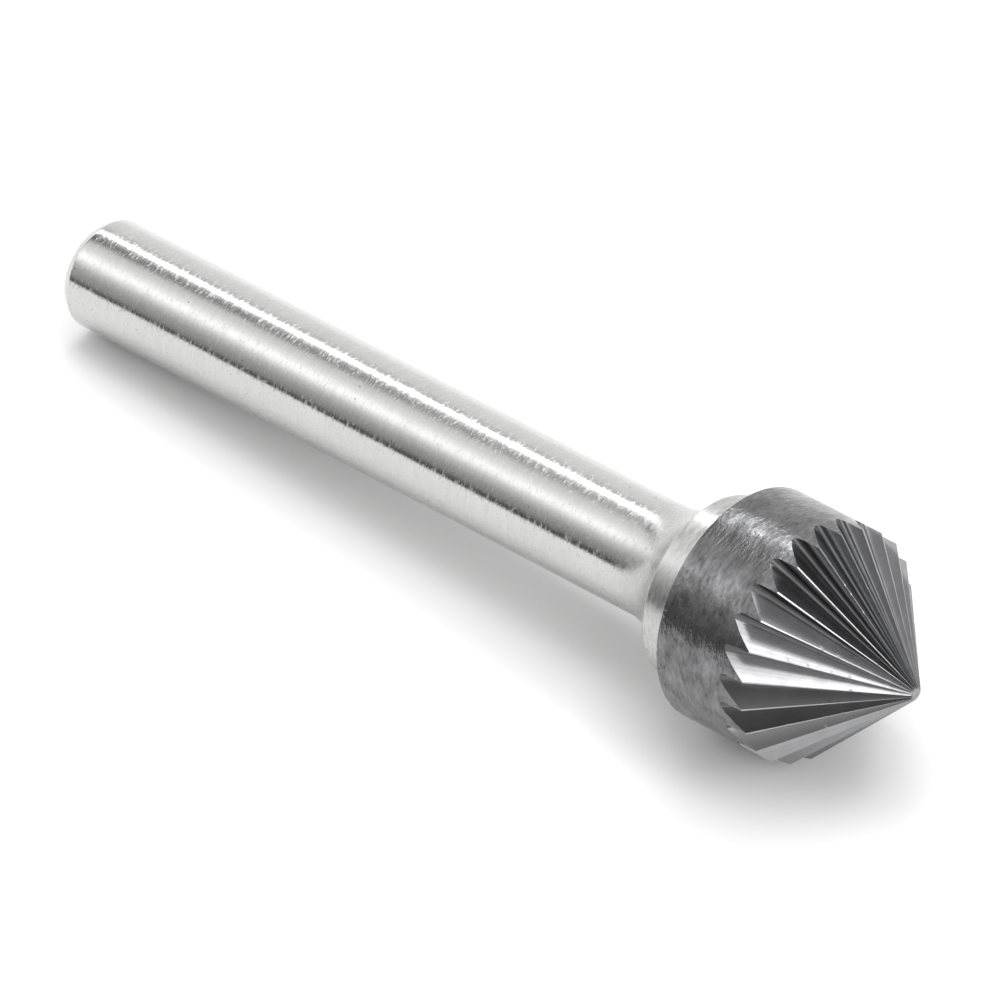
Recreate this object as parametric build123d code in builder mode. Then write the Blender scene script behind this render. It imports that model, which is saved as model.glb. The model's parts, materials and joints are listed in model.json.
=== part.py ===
from build123d import *
import os
from math import acos, cos, degrees, radians, sin

# Carbide rotary burr: a 90 degree cone head with straight flutes, brazed to a steel shank.
# Lengths are in millimetres and angles in degrees. +X runs along the spin axis from the
# shank's end to the cone's tip, +Z is up, and the origin is the centre of the shank's end.

# Steel shank
shank_diameter = 6.0
chamfer_length = 0.5
chamfer_depth = 0.3
collar_start = 42.5
collar_diameter = 9.9
collar_edge_break = 0.15
neck_radius = 4.0

# Brazed joint: a copper foil between two thin layers of silver braze
joint_start = 44.25
braze_thickness = 0.1
copper_thickness = 0.2
bead_width = 0.35
bead_radius = 0.6

# Carbide head
head_diameter = 12.4
band_length = 5.65
rim_edge_break = 0.06
tip_radius = 0.65

# Flutes: saw-tooth grooves that shrink towards the cone's point
flute_count = 24
flute_depth = 1.45
flute_floor_radius = 0.24
floor_lead = 0.6
land_width = 0.08

shank_radius = shank_diameter / 2
collar_radius = collar_diameter / 2
head_radius = head_diameter / 2

# The neck is one arc, tangent to the shank, that ends at the collar's broken rear edge.
neck_rise = collar_radius - collar_edge_break - shank_radius
neck_turn = acos(1 - neck_rise / neck_radius)
neck_start = collar_start - neck_radius * sin(neck_turn)

copper_start = joint_start + braze_thickness
copper_end = copper_start + copper_thickness
head_start = copper_end + braze_thickness
cone_start = head_start + band_length

# The sharp point that the 90 degree cone and every flute aim at; the ball is the blunted tip.
point_x = cone_start + head_radius
ball_centre = point_x - tip_radius / sin(radians(45))
ball_tangent = tip_radius * cos(radians(45))

os.makedirs("parts", exist_ok=True)

with BuildPart() as shank:
    with BuildSketch(Plane.XY):
        with BuildLine():
            Polyline(
                (joint_start, collar_radius),
                (joint_start, 0),
                (0, 0),
                (0, shank_radius - chamfer_depth),
                (chamfer_length, shank_radius),
                (neck_start, shank_radius),
            )
            JernArc((neck_start, shank_radius), (1, 0), neck_radius, degrees(neck_turn))
            Polyline(
                (collar_start, collar_radius - collar_edge_break),
                (collar_start + collar_edge_break, collar_radius),
                (joint_start, collar_radius),
            )
        make_face()
    revolve(axis=Axis.X)
shank.part.label = "shank"
export_step(shank.part, "parts/shank.step")

with BuildPart() as braze_rear:
    with BuildSketch(Plane.YZ.offset(joint_start)):
        Circle(collar_radius)
    extrude(amount=braze_thickness)
braze_rear.part.label = "braze_rear"
export_step(braze_rear.part, "parts/braze_rear.step")

with BuildPart() as copper_foil:
    with BuildSketch(Plane.YZ.offset(copper_start)):
        Circle(collar_radius)
    extrude(amount=copper_thickness)
copper_foil.part.label = "copper_foil"
export_step(copper_foil.part, "parts/copper_foil.step")

# The front layer also holds the bead of braze that ran out round the joint: a hollow-faced
# ring that covers the edge of the foil and wets the back of the head.
bead_start = head_start - bead_width
with BuildPart() as braze_front:
    with BuildSketch(Plane.XY):
        with BuildLine():
            Polyline(
                (bead_start, collar_radius),
                (copper_end, collar_radius),
                (copper_end, 0),
                (head_start, 0),
                (head_start, collar_radius + bead_width),
            )
            RadiusArc(
                (bead_start, collar_radius),
                (head_start, collar_radius + bead_width),
                bead_radius,
            )
        make_face()
    revolve(axis=Axis.X)
braze_front.part.label = "braze_front"
export_step(braze_front.part, "parts/braze_front.step")

# One flute is a pyramid that narrows to the cone's point. Its section is a V: a steep wall
# beside the ridge of its own tooth, and a long relief wall that climbs to the next tooth.
flute_pitch = 360 / flute_count
half_land = degrees(land_width / 2 / head_radius)
floor_radius = head_radius - flute_depth


def ring_point(radius, angle):
    """A point of the section at the cone's base, at an angle about the spin axis."""
    return Vector(radius * cos(radians(angle)), radius * sin(radians(angle)))


flute_floor = ring_point(floor_radius, floor_lead)
own_ridge = ring_point(head_radius, half_land)
next_ridge = ring_point(head_radius, flute_pitch - half_land)
overcut = 1.4
flute_section = (
    flute_floor,
    flute_floor + (own_ridge - flute_floor) * overcut,
    flute_floor + (next_ridge - flute_floor) * overcut,
)
flute_back = head_start + band_length / 2
flute_front = point_x - tip_radius / 4

with BuildPart() as flute:
    for section_x in (flute_back, flute_front):
        growth = (point_x - section_x) / head_radius
        with BuildSketch(Plane.YZ.offset(section_x)) as section:
            with BuildLine():
                Polyline(*[corner * growth for corner in flute_section], close=True)
            make_face()
            floor_corner = section.vertices().sort_by_distance(flute_floor * growth)[0]
            fillet(floor_corner, flute_floor_radius * growth)
    loft(ruled=True)

with BuildPart() as head:
    with BuildSketch(Plane.XY):
        with BuildLine():
            Polyline(
                (ball_centre + tip_radius, 0),
                (head_start, 0),
                (head_start, head_radius - rim_edge_break),
                (head_start + rim_edge_break, head_radius),
                (cone_start, head_radius),
                (ball_centre + ball_tangent, ball_tangent),
            )
            RadiusArc(
                (ball_centre + ball_tangent, ball_tangent),
                (ball_centre + tip_radius, 0),
                tip_radius,
            )
        make_face()
    revolve(axis=Axis.X)
    for tooth in range(flute_count):
        add(flute.part.rotate(Axis.X, tooth * flute_pitch), mode=Mode.SUBTRACT)
head.part.label = "head"
export_step(head.part, "parts/head.step")
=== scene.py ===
import json
import random
from math import atan2, cos, pi, radians, sin, sqrt, tan

import bmesh
import bpy
from mathutils import Matrix, Quaternion, Vector, noise


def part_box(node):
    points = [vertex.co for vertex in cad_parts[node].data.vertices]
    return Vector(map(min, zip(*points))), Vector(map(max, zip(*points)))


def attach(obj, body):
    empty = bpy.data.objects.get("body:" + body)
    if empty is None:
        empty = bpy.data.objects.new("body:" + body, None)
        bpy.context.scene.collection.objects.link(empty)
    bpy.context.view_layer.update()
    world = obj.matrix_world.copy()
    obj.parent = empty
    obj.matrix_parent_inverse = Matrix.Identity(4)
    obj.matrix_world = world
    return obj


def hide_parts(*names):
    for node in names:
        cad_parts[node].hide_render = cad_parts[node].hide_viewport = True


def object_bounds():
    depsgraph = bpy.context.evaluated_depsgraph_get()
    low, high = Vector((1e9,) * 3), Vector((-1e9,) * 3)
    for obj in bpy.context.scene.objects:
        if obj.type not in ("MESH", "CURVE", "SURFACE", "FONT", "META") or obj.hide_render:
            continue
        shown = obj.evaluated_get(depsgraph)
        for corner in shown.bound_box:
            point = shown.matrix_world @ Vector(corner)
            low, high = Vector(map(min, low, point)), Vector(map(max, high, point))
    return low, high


# Looks for a carbide rotary burr: a ground steel shank, a brazed joint and a fluted carbide
# head, lying on a pale bench. Lengths are in metres, in the CAD model's frame: +X along the
# spin axis from the shank's end to the tip, +Z up, the origin at the centre of the shank's end.

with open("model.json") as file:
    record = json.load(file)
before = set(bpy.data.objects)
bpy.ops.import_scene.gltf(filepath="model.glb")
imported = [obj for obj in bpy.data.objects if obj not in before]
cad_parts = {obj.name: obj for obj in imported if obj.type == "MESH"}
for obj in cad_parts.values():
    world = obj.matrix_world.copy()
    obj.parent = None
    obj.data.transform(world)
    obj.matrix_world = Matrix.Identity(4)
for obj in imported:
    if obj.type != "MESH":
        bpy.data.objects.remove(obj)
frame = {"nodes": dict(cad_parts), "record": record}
cad_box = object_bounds()

MM = 0.001
random_source = random.Random(24)

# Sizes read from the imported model
shank_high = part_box("shank")[1]
head_low, head_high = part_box("head")
shank_mount = next(m for m in frame["record"]["mounts"] if m["name"] == "shank")
shank_radius = shank_mount["dims"]["r_mm"] * MM
collar_radius = shank_high.z
joint_start = shank_high.x
copper_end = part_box("copper_foil")[1].x
head_start = head_low.x
head_radius = head_high.z

# Sizes that the boxes don't give, as the CAD source has them
chamfer_length = 0.5 * MM
chamfer_depth = 0.3 * MM
collar_start = 42.5 * MM
collar_edge_break = 0.15 * MM
neck_radius = 4.0 * MM
bead_width = 0.35 * MM
bead_radius = 0.6 * MM
band_length = 5.65 * MM
rim_edge_break = 0.06 * MM
tip_radius = 0.65 * MM
flute_count = 24
flute_depth = 1.45 * MM
flute_floor_radius = 0.24 * MM
floor_lead = radians(0.6)
land_width = 0.08 * MM

# Finer than the CAD model
chamfer_softness = 0.03 * MM
relief_hollow = 0.025 * MM
bead_lump_in_mm = 0.05
lumps_per_metre = 1600
neck_finish_start = 37.9 * MM
neck_finish_full = 39.9 * MM
neck_edge_wander = 0.5 * MM

cone_start = head_start + band_length
point_x = cone_start + head_radius
ball_centre = point_x - tip_radius * sqrt(2)


# ---------------------------------------------------------------- mesh helpers

def new_piece(name, bm, materials, replaces):
    """Turns a bmesh into a piece of the burr, smooth except across real edges."""
    bmesh.ops.recalc_face_normals(bm, faces=bm.faces)
    mesh = bpy.data.meshes.new(name)
    bm.to_mesh(mesh)
    bm.free()
    mesh.shade_smooth()
    mesh.set_sharp_from_angle(angle=radians(28))
    for material in materials:
        mesh.materials.append(material)
    piece = bpy.data.objects.new(name, mesh)
    bpy.context.scene.collection.objects.link(piece)
    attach(piece, "root")
    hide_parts(replaces)


def skin(bm, rings, material=0):
    """Quads between neighbouring rings of vertices, each ring closed on itself.

    The material is one index, or a list with one for each column of quads.
    """
    for near, far in zip(rings, rings[1:]):
        for i in range(len(near)):
            j = (i + 1) % len(near)
            face = bm.faces.new((near[i], near[j], far[j], far[i]))
            face.material_index = material[i] if isinstance(material, list) else material


def fan(bm, ring, centre, material=0):
    """Triangles from a ring of vertices to one centre point."""
    middle = bm.verts.new(centre)
    for i in range(len(ring)):
        face = bm.faces.new((ring[i], ring[(i + 1) % len(ring)], middle))
        face.material_index = material


def arc(centre, radius, start, end, steps):
    """Points (x, r) on an arc in the profile's plane, from one angle to another."""
    turn = (end - start) / steps
    return [
        (centre[0] + radius * cos(start + turn * i), centre[1] + radius * sin(start + turn * i))
        for i in range(steps + 1)
    ]


def line(start, end, steps):
    """Points (x, r) along a straight stretch, without its last point."""
    return [
        (start[0] + (end[0] - start[0]) * i / steps, start[1] + (end[1] - start[1]) * i / steps)
        for i in range(steps)
    ]


def turned(bm, profile, segments, shape=None):
    """Rings of vertices for a profile of (x, r) points turned about the X axis.

    The shape, if given, moves each point, knowing its angle about the axis.
    """
    rings = []
    for x, r in profile:
        ring = []
        for i in range(segments):
            angle = 2 * pi * i / segments
            point = Vector((x, r * cos(angle), r * sin(angle)))
            ring.append(bm.verts.new(shape(point, angle) if shape else point))
        rings.append(ring)
    skin(bm, rings)
    return rings


def rotated(point, angle):
    """A (y, z) point turned about the X axis."""
    return Vector((
        point.x * cos(angle) - point.y * sin(angle),
        point.x * sin(angle) + point.y * cos(angle),
    ))


# ---------------------------------------------------------------- material helpers

def make(tree, kind, inputs=None, **settings):
    """Adds a shader node, with values or links for its inputs."""
    made = tree.nodes.new("ShaderNode" + kind)
    for name, value in settings.items():
        setattr(made, name, value)
    for key, value in (inputs or {}).items():
        if isinstance(value, bpy.types.NodeSocket):
            tree.links.new(value, made.inputs[key])
        else:
            made.inputs[key].default_value = value
    return made


def ramp(tree, factor, stops):
    """A colour ramp with grey stops, each a (position, level) pair."""
    made = make(tree, "ValToRGB", {"Fac": factor})
    elements = made.color_ramp.elements
    while len(elements) > 1:
        elements.remove(elements[0])
    elements[0].position, elements[0].color = stops[0][0], (*[stops[0][1]] * 3, 1)
    for position, level in stops[1:]:
        elements.new(position).color = (*[level] * 3, 1)
    return made.outputs["Color"]


def new_material(name):
    """A node-based material, with its tree, its shader and the object's coordinates."""
    material = bpy.data.materials.new(name)
    material.use_nodes = True
    tree = material.node_tree
    shader = tree.nodes["Principled BSDF"]
    place = make(tree, "TexCoord").outputs["Object"]
    return material, tree, shader, place


def stretched_noise(tree, place, scale, detail, roughness):
    """Noise whose grain is 1 / scale long on each axis, in metres."""
    squeezed = make(tree, "VectorMath", {0: place, 1: scale}, operation="MULTIPLY")
    grain = make(tree, "TexNoise", {
        "Vector": squeezed.outputs[0],
        "Scale": 1.0,
        "Detail": detail,
        "Roughness": roughness,
    })
    return grain.outputs["Fac"]


def math_node(tree, operation, a, b):
    return make(tree, "Math", {0: a, 1: b}, operation=operation).outputs[0]


def remap(tree, value, low, high, to_low, to_high):
    """Maps a value from one range to another, and holds it within the second."""
    made = make(tree, "MapRange", {
        "Value": value, "From Min": low, "From Max": high, "To Min": to_low, "To Max": to_high,
    })
    return made.outputs["Result"]


def mix_colour(tree, factor, first, second):
    """Mixes two colours, each a socket or an RGBA tuple."""
    made = make(tree, "Mix", {"Factor": factor, "A": first, "B": second}, data_type="RGBA")
    return made.outputs["Result"]


def mix_by_noise(tree, grain, dark, light, low=0.0, high=1.0):
    """Runs from one RGB colour to another as the noise goes from low to high."""
    factor = grain if (low, high) == (0.0, 1.0) else remap(tree, grain, low, high, 0.0, 1.0)
    return mix_colour(tree, factor, (*dark, 1), (*light, 1))


def across_scratches(tree, shader, amount):
    """Spreads reflections along the X axis, across the scratches that run round it."""
    shader.inputs["Anisotropic"].default_value = amount
    shader.inputs["Anisotropic Rotation"].default_value = 0.25
    tangent = make(tree, "Tangent", direction_type="RADIAL", axis="X").outputs[0]
    tree.links.new(tangent, shader.inputs["Tangent"])


def bump(tree, height, distance, normal=None):
    """Relief from a height map, with its depth in metres, on top of another normal if given."""
    inputs = {"Height": height, "Distance": distance, "Strength": 1.0}
    if normal is not None:
        inputs["Normal"] = normal
    return make(tree, "Bump", inputs).outputs["Normal"]


# ---------------------------------------------------------------- materials

def pitted(tree, place, scale, share, radius):
    """A mask of sparse round pits: 1 in a pit, 0 elsewhere, in cells 1 / scale wide."""
    spread = make(tree, "VectorMath", {0: place, 1: (scale,) * 3}, operation="MULTIPLY")
    cells = make(tree, "TexVoronoi", {"Vector": spread.outputs[0], "Scale": 1.0})
    inside = remap(tree, cells.outputs["Distance"], radius * 0.5, radius, 1.0, 0.0)
    chosen = make(tree, "SeparateColor", {0: cells.outputs["Color"]}).outputs[0]
    chosen = remap(tree, chosen, share * 0.8, share, 1.0, 0.0)
    return math_node(tree, "MULTIPLY", inside, chosen)


def ground_steel():
    """Centreless-ground shank steel: bright, with fine short scratches round the axis.

    The neck is left duller than the ground part, and blends into it.
    """
    material, tree, shader, place = new_material("ground_steel")
    streaks = stretched_noise(tree, place, (7500, 3200, 3200), 4.0, 0.65)
    swell = stretched_noise(tree, place, (500, 420, 420), 2.0, 0.5)
    patches = stretched_noise(tree, place, (2600, 700, 700), 3.0, 0.6)
    pits = pitted(tree, place, 1500, 0.5, 0.085)
    along = make(tree, "SeparateXYZ", {0: place}).outputs["X"]
    wander = remap(tree, patches, 0.3, 0.7, -neck_edge_wander, neck_edge_wander)
    on_neck = math_node(tree, "ADD", along, wander)
    on_neck = remap(tree, on_neck, neck_finish_start, neck_finish_full, 0.0, 1.0)
    colour = mix_by_noise(tree, patches, (0.54, 0.54, 0.535), (0.58, 0.58, 0.575), 0.3, 0.7)
    colour = mix_colour(tree, on_neck, colour, (0.52, 0.52, 0.515, 1))
    colour = mix_colour(tree, pits, colour, (0.2, 0.2, 0.2, 1))
    tree.links.new(colour, shader.inputs["Base Color"])
    shader.inputs["Metallic"].default_value = 1.0
    rough = remap(tree, streaks, 0.48, 0.68, 0.08, 0.38)
    dull = remap(tree, streaks, 0.4, 0.7, 0.26, 0.4)
    tree.links.new(remap(tree, on_neck, 0.0, 1.0, rough, dull), shader.inputs["Roughness"])
    across_scratches(tree, shader, 0.3)
    normal = bump(tree, swell, 1.0e-6)
    normal = bump(tree, streaks, 6.0e-6, normal)
    tree.links.new(normal, shader.inputs["Normal"])
    return material


def turned_steel():
    """The neck and collar, left as turned: duller, with fine rings round the axis."""
    material, tree, shader, place = new_material("turned_steel")
    rings = stretched_noise(tree, place, (14000, 250, 250), 3.0, 0.7)
    mottle = stretched_noise(tree, place, (6000, 1800, 1800), 3.0, 0.6)
    colour = mix_by_noise(tree, mottle, (0.42, 0.42, 0.415), (0.55, 0.55, 0.545), 0.3, 0.7)
    tree.links.new(colour, shader.inputs["Base Color"])
    shader.inputs["Metallic"].default_value = 1.0
    rough = remap(tree, mottle, 0.3, 0.7, 0.24, 0.34)
    tree.links.new(rough, shader.inputs["Roughness"])
    across_scratches(tree, shader, 0.5)
    normal = bump(tree, mottle, 6.0e-6)
    normal = bump(tree, rings, 5.0e-6, normal)
    tree.links.new(normal, shader.inputs["Normal"])
    return material


def carbide(name, grain_scale, dark, light, roughness, relief, along_flutes):
    """Ground cemented carbide: grey, with mottled streaks left by the wheel.

    The roughness is a (smooth, rough) pair: lighter streaks are smoother. On the flutes the
    streaks run towards the cone's point, and their scale is per unit of direction from it.
    """
    material, tree, shader, place = new_material(name)
    clouds = stretched_noise(tree, place, (900, 700, 700), 3.0, 0.6)
    if along_flutes:
        offset = make(tree, "VectorMath", {0: place, 1: (point_x, 0, 0)}, operation="SUBTRACT")
        place = make(tree, "VectorMath", {0: offset.outputs[0]}, operation="NORMALIZE").outputs[0]
    streaks = stretched_noise(tree, place, grain_scale, 4.0, 0.6)
    tone = math_node(tree, "MULTIPLY", math_node(tree, "ADD", streaks, clouds), 0.5)
    bluish = 1.02
    colour = mix_by_noise(
        tree, tone, (dark, dark, dark * bluish), (light, light, light * bluish), 0.35, 0.65
    )
    tree.links.new(colour, shader.inputs["Base Color"])
    shader.inputs["Metallic"].default_value = 1.0
    rough = remap(tree, tone, 0.35, 0.65, *reversed(roughness))
    tree.links.new(rough, shader.inputs["Roughness"])
    normal = bump(tree, clouds, relief)
    tree.links.new(bump(tree, streaks, relief, normal), shader.inputs["Normal"])
    return material


def plain_metal(name, dark, light, grain, roughness):
    """A dull metal with a fine uneven surface, for the brazed joint."""
    material, tree, shader, place = new_material(name)
    spots = stretched_noise(tree, place, (grain,) * 3, 3.0, 0.6)
    tree.links.new(mix_by_noise(tree, spots, dark, light), shader.inputs["Base Color"])
    shader.inputs["Metallic"].default_value = 1.0
    tree.links.new(remap(tree, spots, 0.3, 0.7, *roughness), shader.inputs["Roughness"])
    tree.links.new(bump(tree, spots, 8.0e-6), shader.inputs["Normal"])
    return material


def bench_surface():
    """A matt, nearly white bench."""
    material, tree, shader, place = new_material("bench_surface")
    cloud = stretched_noise(tree, place, (30, 30, 30), 2.0, 0.5)
    colour = mix_by_noise(tree, cloud, (0.81, 0.81, 0.81), (0.84, 0.84, 0.84))
    tree.links.new(colour, shader.inputs["Base Color"])
    shader.inputs["Roughness"].default_value = 0.9
    shader.inputs["Specular IOR Level"].default_value = 0.1
    return material


steel_finish = ground_steel()
turned_finish = turned_steel()
band_finish = carbide(
    "carbide_band", (5000, 1700, 1700), 0.09, 0.25, (0.1, 0.3), 3.6e-5, along_flutes=False
)
relief_finish = carbide(
    "carbide_relief", (60, 60, 60), 0.27, 0.33, (0.18, 0.26), 1.0e-6, along_flutes=True
)
steep_finish = carbide(
    "carbide_steep", (90, 90, 90), 0.33, 0.4, (0.16, 0.22), 1.0e-6, along_flutes=True
)
# Painted highlight: a lighter copy of the flute carbide on the narrow lands, standing in for the
# glint of the ridges.
land_painted_highlight = carbide(
    "carbide_land_painted_highlight", (90, 90, 90), 0.38, 0.5, (0.22, 0.34), 1.0e-6, along_flutes=True
)
# Painted shade: a far darker copy of the flute carbide on the round flute floors, standing in for
# the shade deep in the grooves.
root_painted_shade = carbide(
    "carbide_root_painted_shade", (90, 90, 90), 0.09, 0.14, (0.3, 0.4), 1.0e-6, along_flutes=True
)
braze_finish = plain_metal("silver_braze", (0.42, 0.41, 0.38), (0.66, 0.64, 0.60), 9000, (0.3, 0.5))
copper_finish = plain_metal(
    "rolled_copper", (0.55, 0.30, 0.20), (0.72, 0.42, 0.30), 6000, (0.25, 0.4)
)


# ---------------------------------------------------------------- steel shank

def build_shank():
    """The plain shank, its neck and its collar, turned as one profile."""
    neck_rise = collar_radius - collar_edge_break - shank_radius
    neck_turn = atan2(
        sqrt(neck_radius**2 - (neck_radius - neck_rise) ** 2), neck_radius - neck_rise
    )
    neck_start = collar_start - neck_radius * sin(neck_turn)
    soft = chamfer_softness
    profile = [(0.0, shank_radius * i / 12) for i in range(1, 9)]
    profile += [
        (0.0, shank_radius - chamfer_depth - soft),
        (soft * 0.3, shank_radius - chamfer_depth - soft * 0.1),
        (chamfer_length - soft, shank_radius - soft * 0.6),
        (chamfer_length + soft * 0.3, shank_radius - soft * 0.1),
    ]
    profile += line((chamfer_length + soft * 2, shank_radius), (neck_start, shank_radius), 80)
    profile += arc(
        (neck_start, shank_radius + neck_radius), neck_radius, -pi / 2, -pi / 2 + neck_turn, 28
    )
    profile += [
        (collar_start + collar_edge_break * 0.35, collar_radius - collar_edge_break * 0.4),
        (collar_start + collar_edge_break, collar_radius),
    ]
    profile += line(
        (collar_start + collar_edge_break * 1.5, collar_radius), (joint_start, collar_radius), 10
    )
    profile += [(joint_start, collar_radius), (joint_start, collar_radius * 0.5)]
    bm = bmesh.new()
    rings = turned(bm, profile, segments=256)
    fan(bm, rings[0], (0, 0, 0))
    fan(bm, rings[-1], (joint_start, 0, 0))
    materials = [steel_finish, turned_finish]
    for face in bm.faces:
        if face.calc_center_median().x > collar_start:
            face.material_index = materials.index(turned_finish)
    new_piece("steel_shank", bm, materials, "shank")


# ---------------------------------------------------------------- brazed joint

def build_bead():
    """The front layer of braze, with the hollow-faced bead that ran out round the joint."""
    start = head_start - bead_width
    half_chord = bead_width / sqrt(2)
    depth = sqrt(bead_radius**2 - half_chord**2)
    middle = (head_start - bead_width / 2, collar_radius + bead_width / 2)
    centre = (middle[0] - depth / sqrt(2), middle[1] + depth / sqrt(2))
    first = atan2(collar_radius - centre[1], start - centre[0])
    last = atan2(collar_radius + bead_width - centre[1], head_start - centre[0])
    inner_radius = collar_radius * 0.5
    profile = [(copper_end, inner_radius), (copper_end, collar_radius)]
    profile += arc(centre, bead_radius, first, last, 10)
    profile += [(head_start, collar_radius), (head_start, inner_radius)]

    def uneven(point, angle):
        """Small lumps in the bead's hollow face; the flat faces and the edges stay true."""
        on_joint = point.yz.length < collar_radius * 1.001
        if on_joint or point.x <= start or point.x >= head_start:
            return point
        lump = noise.fractal(point * lumps_per_metre, 0.6, 2.0, 4)
        outward = Vector((0, cos(angle), sin(angle)))
        return point + (outward - Vector((0.6, 0, 0))) * lump * bead_lump_in_mm * MM

    bm = bmesh.new()
    rings = turned(bm, profile, segments=360, shape=uneven)
    fan(bm, rings[0], (copper_end, 0, 0))
    fan(bm, rings[-1], (head_start, 0, 0))
    new_piece("braze_bead", bm, [braze_finish], "braze_front")


# ---------------------------------------------------------------- carbide head

steep_steps, floor_steps, relief_steps = 5, 8, 8
BAND, RELIEF, STEEP, ROOT_SHADE, LAND_HIGHLIGHT = range(5)
flute_pitch = 2 * pi / flute_count


def tooth_section():
    """One tooth's outline at the cone's base, from its ridge to the next, as (y, z) points.

    It has three points on the land, then the steep wall, the round floor and the relief wall.
    """
    half_land = land_width / 2 / head_radius
    floor = (head_radius - flute_depth, floor_lead)

    def at(radius, angle):
        return Vector((radius * cos(angle), radius * sin(angle)))

    corner = at(*floor)
    own = at(head_radius, half_land)
    following = at(head_radius, flute_pitch - half_land)
    up = (own - corner).normalized()
    out = (following - corner).normalized()
    half = up.angle(out) / 2
    reach = flute_floor_radius / tan(half)
    centre = corner + (up + out).normalized() * flute_floor_radius / sin(half)
    first = corner + up * reach - centre
    turn = pi - 2 * half
    points = [at(head_radius, half_land * share) for share in (-0.6, 0, 0.6)]
    steep_end = centre + first
    points += [own.lerp(steep_end, i / steep_steps) for i in range(steep_steps + 1)]
    for i in range(1, floor_steps + 1):
        angle = -turn * i / floor_steps
        points.append(centre + rotated(first, angle))
    relief_start = points[-1]
    inward = Vector((-out.y, out.x))
    if inward.dot(up) > 0:
        inward = -inward
    for i in range(1, relief_steps + 1):
        share = i / relief_steps
        points.append(
            relief_start.lerp(following, share) + inward * relief_hollow * 4 * share * (1 - share)
        )
    return points


def ridge_nicks(rows):
    """Depths of small chips in the cutting ridges, by tooth and row."""
    depths = {}
    for tooth in range(flute_count):
        for _ in range(random_source.randint(1, 4)):
            middle = random_source.randrange(rows // 5, rows - 12)
            depth = random_source.uniform(0.01, 0.04) * MM
            for offset, share in ((-1, 0.5), (0, 1.0), (1, 0.35)):
                key = (tooth, middle + offset)
                depths[key] = max(depths.get(key, 0.0), depth * share)
    return depths


def build_head():
    """The band, the fluted cone and the blunt tip as one closed mesh.

    Each column of vertices runs from the back of the head to the tip. On the cone the columns
    are rays to the cone's point, so the flutes shrink towards it.
    """
    section = tooth_section()
    columns = [
        rotated(point, tooth * flute_pitch) for tooth in range(flute_count) for point in section
    ]
    apex = Vector((point_x, 0, 0))
    ball = Vector((ball_centre, 0, 0))
    rays, starts, ends = [], [], []
    for column in columns:
        ray = Vector((-head_radius, column.x, column.y))
        rays.append(ray)
        starts.append(head_radius / column.length)
        # The flutes end where their ray from the apex first meets the ball of the tip.
        a = ray.dot(ray)
        b = 2 * ray.dot(apex - ball)
        c = (apex - ball).length_squared - tip_radius**2
        ends.append((-b - sqrt(max(b * b - 4 * a * c, 0))) / (2 * a))
    bm = bmesh.new()
    per_tooth = len(section)
    flute_rows = 124
    nicks = ridge_nicks(flute_rows)
    last_chipped = 4  # the column of the steep wall that a chip in the ridge still reaches
    edge_share = 0.35  # how much of its depth the chip has there
    rim_chip_size = 0.3 * MM
    rim_chip_grain = 22
    rim_chip_threshold = 0.3

    def ring_at(place):
        return [bm.verts.new(place(i)) for i in range(len(columns))]

    def nicked(i, row):
        """A point of the flutes; on a ridge it is pushed in where the edge has chipped."""
        share = row / flute_rows
        point = apex + rays[i] * (starts[i] + (ends[i] - starts[i]) * share)
        tooth, column = divmod(i, per_tooth)
        if column >= per_tooth - 2:
            tooth = (tooth + 1) % flute_count
        elif column > last_chipped:
            return point
        depth = nicks.get((tooth, row), 0.0)
        if column in (last_chipped, per_tooth - 2):
            depth *= edge_share
        return point - Vector((0, point.y, point.z)).normalized() * depth

    def around(i, x, radius):
        return Vector((x, *(columns[i].normalized() * radius)))

    def rim_point(i, x, radius):
        """A point by the rear rim, where small chips have broken out of the edge."""
        outward = columns[i].normalized().to_3d()
        chip = max(0.0, noise.noise(outward * rim_chip_grain) - rim_chip_threshold)
        fade = max(0.0, 1 - (x - head_start) / rim_chip_size)
        return around(i, x, radius - chip * fade * rim_chip_size)

    back = [
        ring_at(lambda i, r=r: around(i, head_start, r))
        for r in (head_radius * 0.45, head_radius * 0.8, head_radius - 1.6 * rim_edge_break)
    ]
    band = [
        ring_at(lambda i, x=x, r=r: rim_point(
            i, head_start + x * rim_edge_break, head_radius - r * rim_edge_break
        ))
        for x, r in ((0.2, 1.0), (1.0, 0.15))
    ]
    band_rows = 24
    for row in range(band_rows):
        share = row / band_rows
        band.append(ring_at(lambda i: rim_point(
            i,
            (head_start + 2 * rim_edge_break) * (1 - share)
            + (point_x - head_radius * starts[i]) * share,
            head_radius,
        )))
    flutes = [ring_at(lambda i: nicked(i, row)) for row in range(flute_rows + 1)]
    tip = []
    tip_rows = 6
    for row in range(1, tip_rows):
        share = row / tip_rows

        def on_ball(i):
            out = (flutes[-1][i].co - ball).normalized()
            return ball + out.lerp(Vector((1, 0, 0)), share).normalized() * tip_radius

        tip.append(ring_at(on_ball))
    skin(bm, back + [band[0]], BAND)
    skin(bm, band + [flutes[0]], BAND)
    # The flute floors get the painted shade and the lands the painted highlight; the walls get the
    # plain carbide finishes.
    finishes_and_painted_light = [LAND_HIGHLIGHT] * 3 + [STEEP] * steep_steps + [ROOT_SHADE] * (floor_steps - 1)
    finishes_and_painted_light += [RELIEF] * (relief_steps + 1) + [LAND_HIGHLIGHT]
    skin(bm, flutes, finishes_and_painted_light * flute_count)
    skin(bm, [flutes[-1]] + tip, RELIEF)
    fan(bm, back[0], (head_start, 0, 0), BAND)
    fan(bm, tip[-1], ball + Vector((tip_radius, 0, 0)), RELIEF)
    materials = [band_finish, relief_finish, steep_finish, root_painted_shade, land_painted_highlight]
    new_piece("carbide_head", bm, materials, "head")


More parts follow.
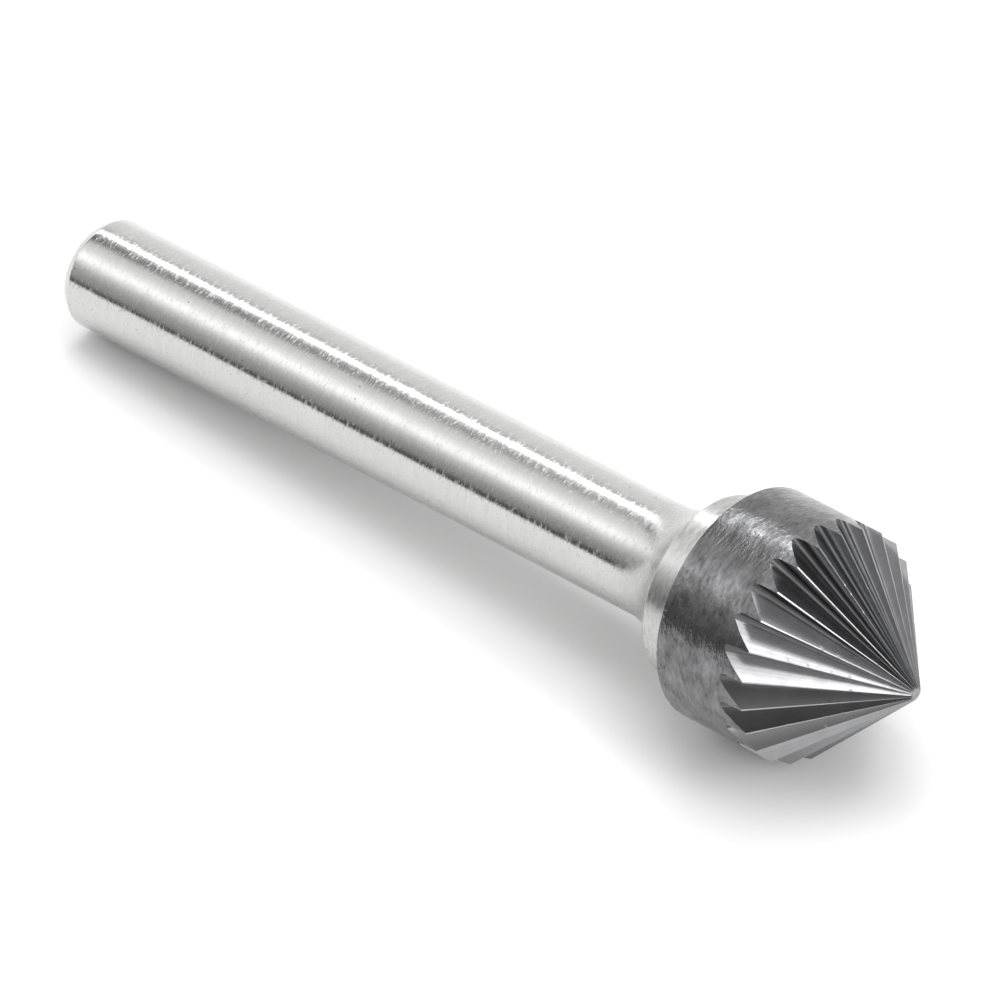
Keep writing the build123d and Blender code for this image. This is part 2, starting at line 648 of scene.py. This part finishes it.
build_shank()
build_bead()
build_head()
for node, finish in (("braze_rear", braze_finish), ("copper_foil", copper_finish)):
    frame["nodes"][node].data.materials.clear()
    frame["nodes"][node].data.materials.append(finish)


# ---------------------------------------------------------------- bench, light and camera

# The burr lies on the shank's lower rear edge and on the head's rear rim.
rear_contact = Vector((chamfer_length, 0, -shank_radius))
rim_contact = Vector((head_start + rim_edge_break, 0, -head_radius))
bench_slope = atan2(rim_contact.z - rear_contact.z, rim_contact.x - rear_contact.x)


def build_bench():
    """A wide flat bench whose near edge is close enough to show in the shank's reflection."""
    half = 4.0
    front_edge = 0.075
    steps = 40
    bm = bmesh.new()
    along = Vector((cos(bench_slope), 0, sin(bench_slope)))
    rows = [
        [
            bm.verts.new(rear_contact + along * half * (2 * i / steps - 1)
                         + Vector((0, half * j / steps - front_edge * (1 - j / steps), 0)))
            for j in range(steps + 1)
        ]
        for i in range(steps + 1)
    ]
    for i in range(steps):
        for j in range(steps):
            bm.faces.new((rows[i][j], rows[i + 1][j], rows[i + 1][j + 1], rows[i][j + 1]))
    bmesh.ops.recalc_face_normals(bm, faces=bm.faces)
    mesh = bpy.data.meshes.new("bench")
    bm.to_mesh(mesh)
    bm.free()
    mesh.materials.append(bench_surface())
    bench = bpy.data.objects.new("bench", mesh)
    bpy.context.scene.collection.objects.link(bench)


def direction(azimuth, elevation):
    """A unit vector: azimuth from +X towards +Y, elevation from the XY plane, in degrees."""
    a, e = radians(azimuth), radians(elevation)
    return Vector((cos(a) * cos(e), sin(a) * cos(e), sin(e)))


def softbox(name, azimuth, elevation, roll, distance, width, height, radiance):
    """An area light aimed at the burr's middle, with a given brightness when seen."""
    light = bpy.data.lights.new(name, "AREA")
    light.shape = "RECTANGLE"
    light.size, light.size_y = width, height
    light.energy = radiance * pi * width * height
    lamp = bpy.data.objects.new(name, light)
    bpy.context.scene.collection.objects.link(lamp)
    middle = (cad_box[0] + cad_box[1]) / 2
    towards = direction(azimuth, elevation)
    lamp.location = middle + towards * distance
    lamp.rotation_mode = "QUATERNION"
    lamp.rotation_quaternion = Quaternion(towards, radians(roll)) @ towards.to_track_quat("Z", "Y")
    lamp.visible_camera = False


def build_world():
    """A light tent seen as panels round the X axis: 0 degrees is +Y, 90 is +Z, 180 is -Y."""
    world = bpy.data.worlds.new("light_tent")
    bpy.context.scene.world = world
    world.use_nodes = True
    tree = world.node_tree
    tree.nodes.clear()
    look = make(tree, "TexCoord").outputs["Generated"]
    axes = make(tree, "SeparateXYZ", {0: look})
    flipped = math_node(tree, "MULTIPLY", axes.outputs["Y"], -1.0)
    from_top = math_node(tree, "ARCTAN2", flipped, axes.outputs["Z"])
    first_angle, span = -10, 200
    place = remap(
        tree, from_top, radians(first_angle - 90), radians(first_angle + span - 90), 0.0, 1.0
    )
    peak = 7.0

    def panels(*stops):
        """Brightness round the axis, from (angle, radiance) pairs."""
        return ramp(tree, place, [
            ((angle - first_angle) / span, level / peak) for angle, level in stops
        ])

    # One set of panels for each stretch of the tent, from behind the shank's end round to the
    # head's side: the reflections of the shank, the band and the flutes lie in different ones.
    # The levels of the rear and middle panels are not free of the reference photograph: they
    # began as the brightness measured across its shank, made linear and scaled, and were then
    # changed. The other panels were set against measured brightnesses.
    rear = panels(
        (-10, 1.2), (15, 1.12), (40, 1.02), (44, 0.86), (54.5, 0.8), (57.5, 4.6), (61, 4.6),
        (64, 0.8), (69, 0.52), (75, 0.2), (82, 0.2), (86, 0.44), (91, 0.9), (103, 1.18),
        (113, 1.55), (120, 1.9), (127, 1.75), (132, 1.4), (143, 0.78), (155, 0.54), (162, 0.5),
        (168, 0.44), (176, 0.14),
    )
    middle = panels(
        (-10, 1.2), (15, 1.12), (40, 1.02), (44, 0.86), (54.5, 0.8), (58, 6.0), (64, 6.0),
        (68, 1.6), (74, 1.2), (79, 1.0), (84, 0.98), (91, 0.9), (97, 1.02), (109, 1.18),
        (120, 1.5), (126, 1.75), (131, 1.7), (137, 1.25), (143, 0.95), (155, 0.5), (167, 0.28),
        (176, 0.1),
    )
    near = panels(
        (-10, 1.2), (30, 1.5), (40, 1.9), (60, 1.6), (95, 1.5), (112, 0.4), (124, 0.2),
        (152, 0.08), (172, 0.4), (180, 0.6), (188, 1.1),
    )
    front = panels(
        (-10, 1.2), (20, 0.9), (32, 0.12), (64, 0.08), (74, 1.0), (82, 1.4), (95, 1.4), (112, 0.25),
        (124, 0.12), (152, 0.08), (172, 0.4), (180, 0.6), (188, 1.1),
    )
    right = panels((-10, 1.6), (30, 3.0), (150, 3.0), (188, 1.6))

    def blend(from_x, to_x, first, second):
        """Goes from one set of panels to the next as the direction's X rises."""
        share = make(tree, "MapRange", {
            "Value": axes.outputs["X"], "From Min": from_x, "From Max": to_x,
        }, interpolation_type="SMOOTHSTEP").outputs["Result"]
        return mix_colour(tree, share, first, second)

    tent = blend(-0.6, -0.562, rear, middle)
    tent = blend(-0.35, 0.05, tent, near)
    tent = blend(0.26, 0.36, tent, front)
    tent = blend(0.64, 0.74, tent, right)
    light = make(tree, "Background", {"Color": tent, "Strength": peak})
    backdrop = make(tree, "Background", {"Color": (1, 1, 1, 1), "Strength": 1.5})
    path = make(tree, "LightPath")
    shown = make(tree, "MixShader", {
        0: path.outputs["Is Camera Ray"], 1: light.outputs[0], 2: backdrop.outputs[0],
    })
    make(tree, "OutputWorld", {"Surface": shown.outputs[0]})


def build_camera():
    """A long lens in front of the burr and above it, turned slightly about its own axis."""
    view_azimuth, view_elevation, view_roll = -43.3, 37.6, 5.38
    distance = 0.55
    looks_at = Vector((28.92, -0.74, -0.66)) * MM
    camera_data = bpy.data.cameras.new("camera")
    camera_data.lens = 396.5
    camera_data.sensor_width = 36.0
    camera = bpy.data.objects.new("camera", camera_data)
    bpy.context.scene.collection.objects.link(camera)
    back = direction(view_azimuth, view_elevation)
    right = Vector((0, 0, 1)).cross(back).normalized()
    right = Matrix.Rotation(radians(-view_roll), 3, back) @ right
    up = back.cross(right)
    camera.location = looks_at + back * distance
    camera.rotation_mode = "QUATERNION"
    camera.rotation_quaternion = Matrix((right, up, back)).transposed().to_quaternion()
    bpy.context.scene.camera = camera


build_bench()
softbox(
    "key", azimuth=37, elevation=65.5, roll=-18.5,
    distance=0.5, width=0.35, height=0.11, radiance=3.1,
)
softbox(
    "top", azimuth=135, elevation=82, roll=0,
    distance=0.5, width=0.24, height=0.24, radiance=2.5,
)
build_world()
build_camera()
bpy.context.scene.view_settings.view_transform = "Standard"
